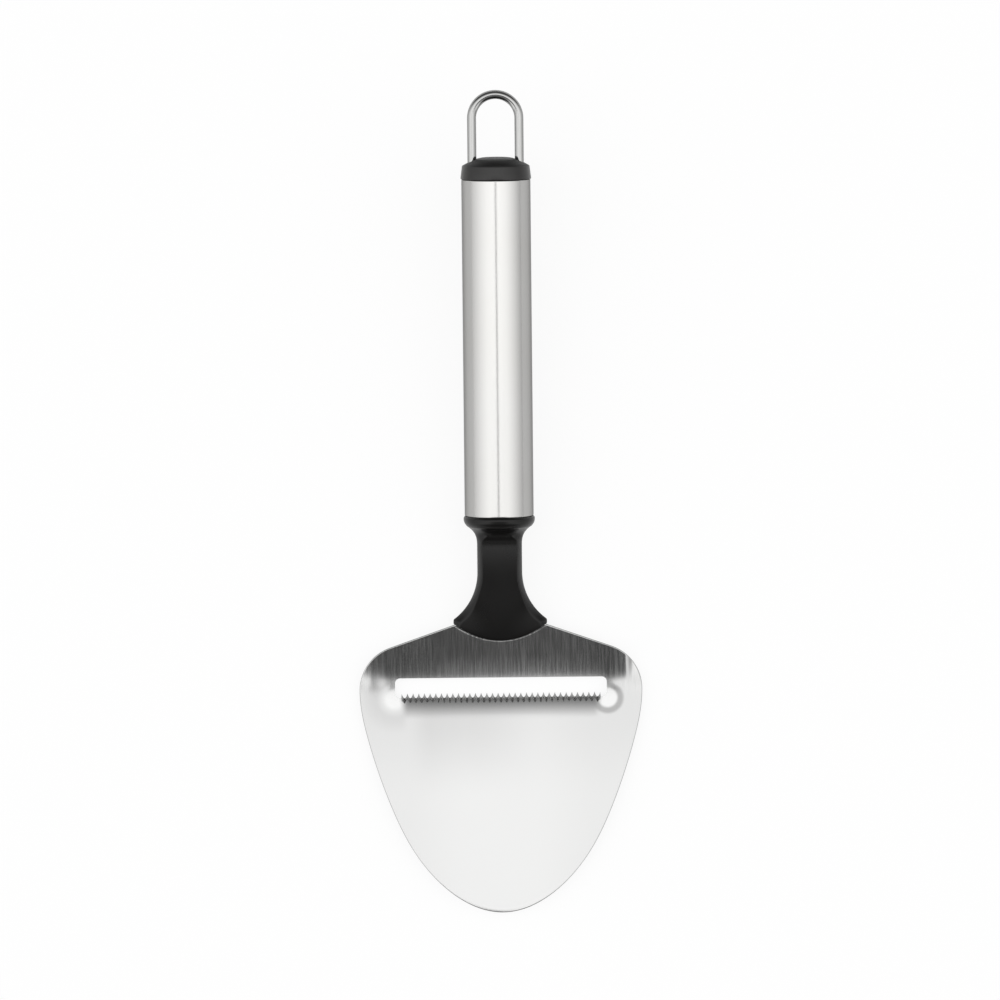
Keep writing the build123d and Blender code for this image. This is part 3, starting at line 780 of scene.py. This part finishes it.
# Table: a plain pale floor, which the camera sees as nearly white
floor_mesh = bpy.data.meshes.new("floor")
floor_mesh.from_pydata([(-3, -3, 0), (3, -3, 0), (3, 3, 0), (-3, 3, 0)], [], [(0, 1, 2, 3)])
floor = bpy.data.objects.new("floor", floor_mesh)
bpy.context.scene.collection.objects.link(floor)
floor_paint, start = new_finish("pale_floor")
seen = start.node("ShaderNodeLightPath", {}, {}, "Is Camera Ray")
mirrored = start.node("ShaderNodeLightPath", {}, {}, "Is Glossy Ray")
through = start.node("ShaderNodeLightPath", {}, {}, "Is Transmission Ray")
white = start.node("ShaderNodeEmission", {}, {"Color": (1, 1, 1, 1), "Strength": 1.0})
paint = start.node("ShaderNodeBsdfDiffuse", {}, {"Color": (0.94, 0.94, 0.94, 1)})
whiteness = 0.88 * seen + 0.35 * mirrored + 0.74 * through
shade = start.node("ShaderNodeMixShader", {}, {0: whiteness, 1: paint, 2: white})
start.node("ShaderNodeOutputMaterial", {}, {"Surface": shade})
floor.data.materials.append(floor_paint)

# Studio: a soft light tent overhead, bright above the slicer and fading to both sides and
# towards the loop, with a narrow seam that the camera looks through, and a softer strip of
# light beyond the blade's tip. The camera itself sees plain white.
world = bpy.data.worlds.new("light_tent")
bpy.context.scene.world = world
world.use_nodes = True
world.node_tree.nodes.clear()
start = Wire(world.node_tree)
sky = start.node("ShaderNodeTexCoord", {}, {}, "Generated")
sky_x = start.node("ShaderNodeSeparateXYZ", {}, {0: sky}, "X")
sky_y = start.node("ShaderNodeSeparateXYZ", {}, {0: sky}, "Y")
sky_z = start.node("ShaderNodeSeparateXYZ", {}, {0: sky}, "Z")
sideways = start.node("ShaderNodeMath", {"operation": "ARCTAN2"}, {0: sky_x, 1: sky_z})
off_middle = start.node("ShaderNodeMath", {"operation": "ABSOLUTE"}, {0: sideways})
off_seam = start.node("ShaderNodeMath", {"operation": "ABSOLUTE"}, {0: sideways + math.radians(1.5)})
off_side = start.node("ShaderNodeMath", {"operation": "ABSOLUTE"}, {0: sky_x})
right = eased(start, sideways, -0.2, 0.2, 0.0, 1.0)
fading = 1 - (0.53 + 0.17 * right) * (off_middle / (math.pi / 2)) ** 1.4
seam = eased(start, off_seam, math.radians(1.9), math.radians(3.2), 0.68, 0.0) * eased(
    start, sky_y, -0.10, -0.02, 1.0, 0.0)
above = eased(start, sky_y, -0.285, -0.190, 0.0, 1.0)
beside = eased(start, off_side, 0.28, 0.55, 0.0, 1.0) * eased(start, sky_y, -0.85, -0.5, 0.0, 0.85)
panel = (above + (1 - above) * beside) * eased(start, sky_y, 0.05, 0.67, 1.0, 0.03)
front = eased(start, sky_y, -0.74, -0.62, 0.0, 0.45) * eased(start, sky_y, -0.50, -0.40, 1.0, 0.0)
glow = 2.2 * panel * fading * (1 - seam) + front + 0.10
seen = start.node("ShaderNodeLightPath", {}, {}, "Is Camera Ray")
glow = glow + seen * (1 - glow)
light = start.node("ShaderNodeBackground", {}, {"Color": (1, 1, 1, 1), "Strength": glow})
start.node("ShaderNodeOutputWorld", {}, {"Surface": light})

# Camera, straight above and turned as the photograph is
lens = bpy.data.cameras.new("camera")
lens.lens = 310
lens.sensor_width = 36
lens.clip_end = 20
camera = bpy.data.objects.new("camera", lens)
camera.location = (0.00028, 0.0007, 2.507)
camera.rotation_euler = (0, 0, math.radians(-0.58))
bpy.context.scene.collection.objects.link(camera)
bpy.context.scene.camera = camera
bpy.context.scene.view_settings.view_transform = "Standard"
